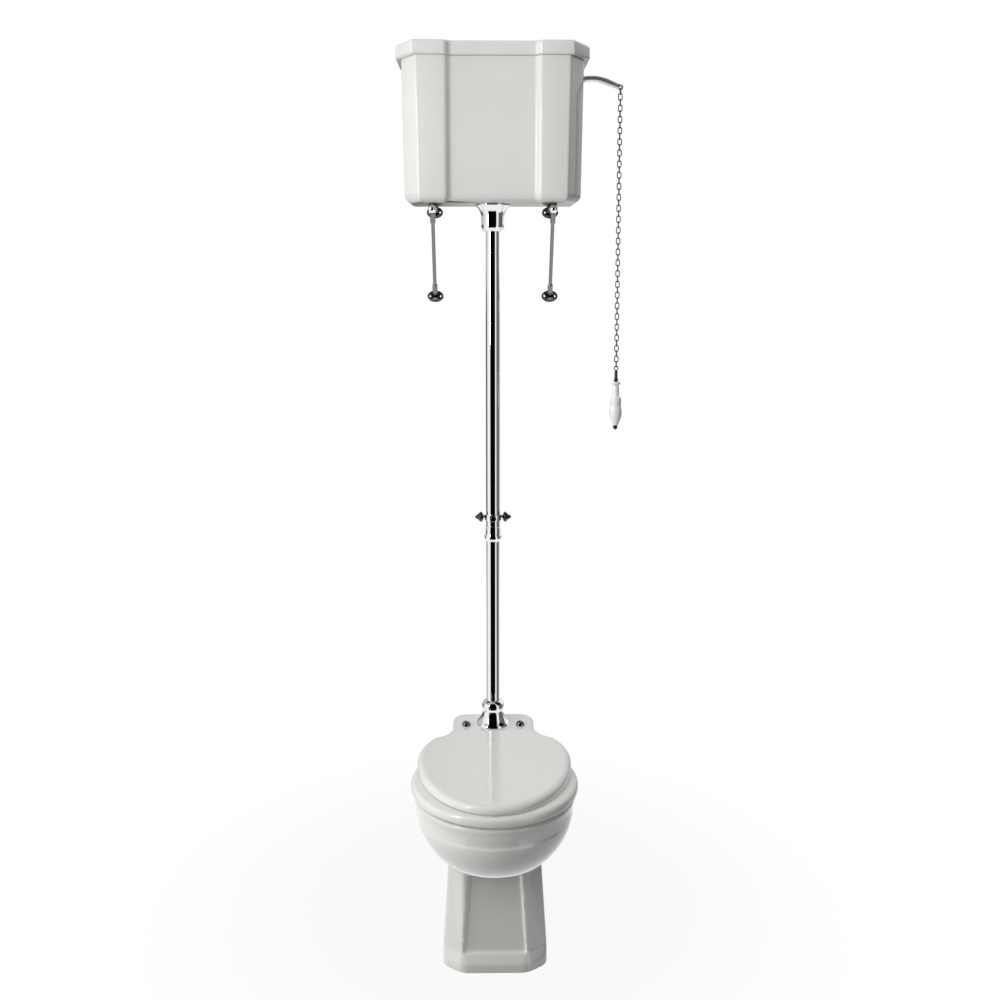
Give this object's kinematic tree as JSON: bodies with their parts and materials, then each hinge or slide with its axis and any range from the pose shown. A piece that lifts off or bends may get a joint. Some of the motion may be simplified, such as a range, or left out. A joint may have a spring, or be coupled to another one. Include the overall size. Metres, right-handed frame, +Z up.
{
  "type": "high tank pull chain toilet",
  "caption": "Ceramic toilet pan with seat and lid, high wall cistern on brackets, chrome flush pipe, and a lever with chain and handle.",
  "frame": {"origin": "on the floor, midway between the pan's two floor screw holes", "axes": "+Z up, +Y towards the wall, +X to the right of a person who faces the toilet; the wall plane is y = 0.260"},
  "size_m": [0.5634, 0.705, 2.126],
  "materials": {
    "china": "gloss glaze",
    "seat": "gloss",
    "chrome": "polished",
    "brass": "satin",
    "rubber": "matt",
    "plastic": "satin"
  },
  "bodies": {
    "fixed": {"pan_rim": "china", "pan_bowl": "china", "pan_sump": "china", "pan_trap": "china", "pan_outlet": "china", "pan_foot": "china", "pan_neck": "china", "shelf_hole_caps": "chrome", "hinge_pillars": "chrome", "hinge_bar": "chrome", "seat_bolts": "chrome", "seat_bolt_washers": "rubber", "seat_wing_nuts": "plastic", "flush_cone": "rubber", "bell_cover": "chrome", "lower_flush_pipe": "chrome", "joint_seal": "rubber", "upper_flush_pipe": "chrome", "pipe_clip": "chrome", "clip_finials": "chrome", "clip_front_screw": "chrome", "outlet_nut": "chrome", "pipe_olive": "rubber", "siphon_back_nut": "brass", "cistern_tank": "china", "bracket_roses": "chrome", "bracket_arms": "chrome", "bracket_struts": "chrome", "bracket_pins": "chrome", "bracket_pads": "rubber", "siphon_washer": "rubber", "siphon_body": "plastic", "lever_bush": "chrome", "lever_bush_nut": "brass", "lever_pin": "brass", "inlet_valve": "brass", "inlet_washer": "rubber", "inlet_back_nut": "brass", "float_pin": "brass"},
    "lid": {"seat_lid": "seat", "seat_lid_buffers": "rubber", "seat_lid_hinges": "chrome"},
    "ring": {"seat_ring": "seat", "seat_ring_buffers": "rubber", "seat_ring_hinges": "chrome"},
    "cover": {"cistern_lid": "china"},
    "lever": {"pull_lever": "chrome"},
    "plunger": {"siphon_plunger": "brass", "siphon_diaphragm": "rubber", "lift_link": "brass"},
    "float": {"float_arm": "brass", "float_ball": "plastic"},
    "top_ring": {"chain_ring": "chrome"},
    "upper_chain": {"chain_upper": "chrome"},
    "lower_chain": {"chain_lower": "chrome"},
    "pull": {"pull_shank": "chrome", "pull_handle": "china", "pull_nut": "chrome"}
  },
  "joints": [
    {"name": "seat_lid_hinge", "type": "hinge", "parent": "fixed", "child": "lid", "pos_m": [0, 0.008, 0.418], "axis": [-1, 0, 0], "range_deg": [0, 103]},
    {"name": "seat_ring_hinge", "type": "hinge", "parent": "fixed", "child": "ring", "pos_m": [0, 0.008, 0.418], "axis": [-1, 0, 0], "range_deg": [0, 95]},
    {"name": "cistern_lid_lift", "type": "slide", "parent": "fixed", "child": "cover", "axis": [0, 0, 1], "range_m": [0, 0.12]},
    {"name": "lever_pull", "type": "hinge", "parent": "fixed", "child": "lever", "pos_m": [0.21441, 0.165, 2.052], "axis": [0, 1, 0], "range_deg": [0, 18], "stiffness_Nm_per_rad": 2, "springref_deg": -17.19},
    {"name": "chain_ring_turn", "type": "hinge", "parent": "lever", "child": "top_ring", "pos_m": [0.31341, 0.165, 2.03491], "axis": [0, 1, 0], "range_deg": [-18, 0]},
    {"name": "chain_swing", "type": "hinge", "parent": "top_ring", "child": "upper_chain", "pos_m": [0.31341, 0.165, 2.02081], "axis": [1, 0, 0], "range_deg": [-45, 5]},
    {"name": "chain_bend", "type": "hinge", "parent": "upper_chain", "child": "lower_chain", "pos_m": [0.31341, 0.165, 1.68581], "axis": [0, 1, 0], "range_deg": [-35, 25]},
    {"name": "pull_swing", "type": "hinge", "parent": "lower_chain", "child": "pull", "pos_m": [0.31341, 0.165, 1.35081], "axis": [1, 0, 0], "range_deg": [-45, 15]},
    {"name": "siphon_lift", "type": "slide", "parent": "fixed", "child": "plunger", "axis": [0, 0, 1], "range_m": [0, 0.0407]},
    {"name": "float_swing", "type": "hinge", "parent": "fixed", "child": "float", "pos_m": [-0.072, 0.165, 2.018], "axis": [0, 1, 0], "range_deg": [-35, 0]}
  ],
  "couplings": [
    {"joint": "seat_ring_hinge", "follows": "seat_lid_hinge", "ratio": 0.92},
    {"joint": "chain_ring_turn", "follows": "lever_pull", "ratio": -1},
    {"joint": "siphon_lift", "follows": "lever_pull", "m_per_rad": 0.12915}
  ]
}
